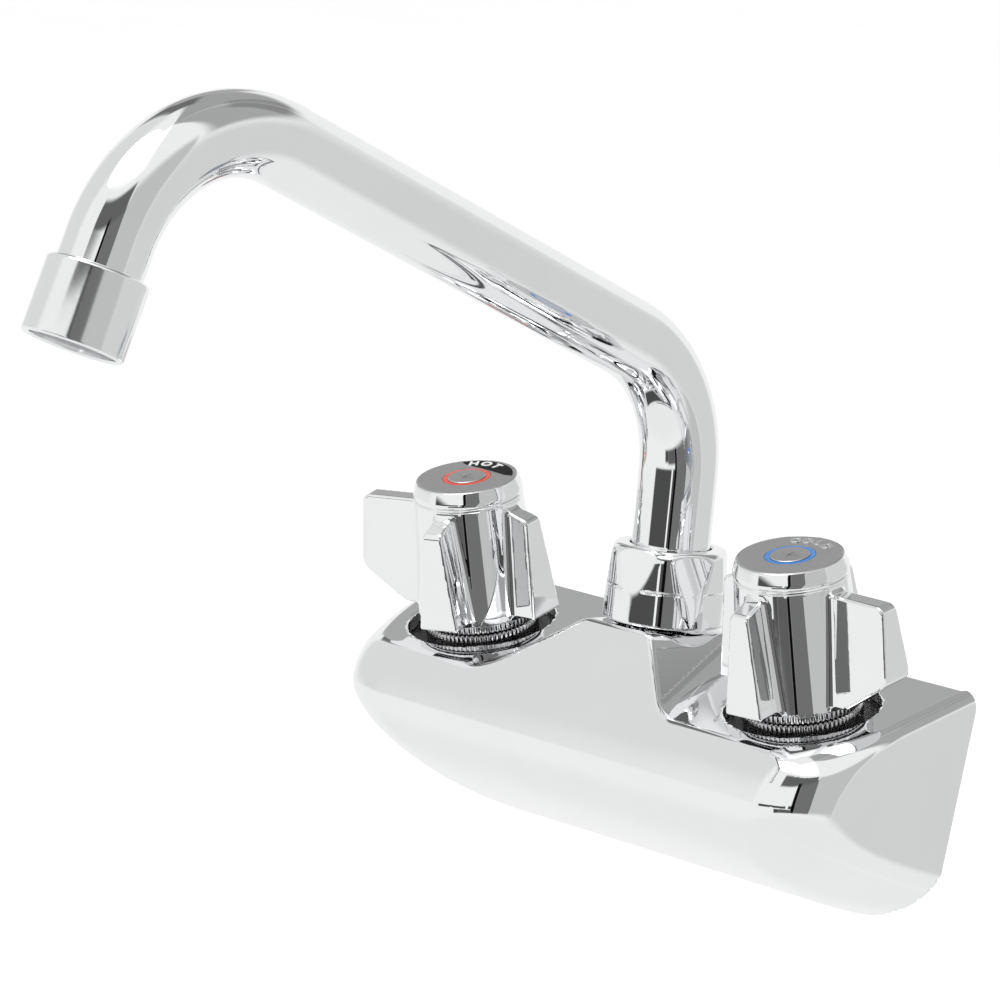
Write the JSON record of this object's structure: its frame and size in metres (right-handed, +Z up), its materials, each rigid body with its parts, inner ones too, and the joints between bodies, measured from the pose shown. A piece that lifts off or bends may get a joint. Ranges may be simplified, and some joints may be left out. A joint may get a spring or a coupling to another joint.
{
  "type": "wall mount faucet",
  "caption": "Chrome wall-mount kitchen faucet: wedge-shaped hollow body, ribbed lever handles either side and a bent tube spout that swings from side to side.",
  "frame": {"origin": "on the wall plane midway between the two inlets, at the inlets' height, on the casting's rear pad", "axes": "+Z up; +Y into the wall, so the user stands on the -Y side; +X to the cold side, the user's right"},
  "size_m": [0.1606, 0.21, 0.177],
  "materials": {
    "polished_chrome": "polished chrome plate",
    "satin_nickel": "satin plate",
    "cast_brass": "machined brass",
    "stainless_steel": "plain",
    "black_rubber": "matte",
    "alumina_ceramic": null,
    "grey_acetal": "moulded",
    "red_enamel": "enamel fill",
    "blue_enamel": "enamel fill"
  },
  "bodies": {
    "body": {"body_casting": "polished_chrome", "spout_nut": "polished_chrome", "hot_lock_nut": "polished_chrome", "hot_cartridge_sleeve": "cast_brass", "hot_fixed_disc": "alumina_ceramic", "hot_seat_seal": "black_rubber", "cold_lock_nut": "polished_chrome", "cold_cartridge_sleeve": "cast_brass", "cold_fixed_disc": "alumina_ceramic", "cold_seat_seal": "black_rubber"},
    "hot_valve": {"hot_handle": "polished_chrome", "hot_handle_screw": "stainless_steel", "hot_index_disc": "satin_nickel", "hot_index_ring": "red_enamel", "hot_index_button": "satin_nickel", "hot_stem": "cast_brass", "hot_stem_o_ring": "black_rubber", "hot_turning_disc": "alumina_ceramic"},
    "cold_valve": {"cold_handle": "polished_chrome", "cold_handle_screw": "stainless_steel", "cold_index_disc": "satin_nickel", "cold_index_ring": "blue_enamel", "cold_index_button": "satin_nickel", "cold_stem": "cast_brass", "cold_stem_o_ring": "black_rubber", "cold_turning_disc": "alumina_ceramic"},
    "spout": {"spout_tube": "polished_chrome", "spout_retaining_ring": "cast_brass", "spout_o_ring_lower": "black_rubber", "spout_o_ring_upper": "black_rubber", "outlet_collar": "polished_chrome", "outlet_washer": "black_rubber", "stream_straightener": "grey_acetal"}
  },
  "joints": [
    {"name": "spout_swing", "type": "hinge", "parent": "body", "child": "spout", "pos_m": [0, -0.0175, 0.06], "axis": [0, 0, 1], "range_deg": [-90, 90]},
    {"name": "hot_handle_turn", "type": "hinge", "parent": "body", "child": "hot_valve", "pos_m": [-0.0508, -0.02766, 0.03485], "axis": [0, -0.2656, 0.9641], "range_deg": [0, 90]},
    {"name": "cold_handle_turn", "type": "hinge", "parent": "body", "child": "cold_valve", "pos_m": [0.0508, -0.02766, 0.03485], "axis": [0, -0.2656, 0.9641], "range_deg": [-90, 0]}
  ]
}
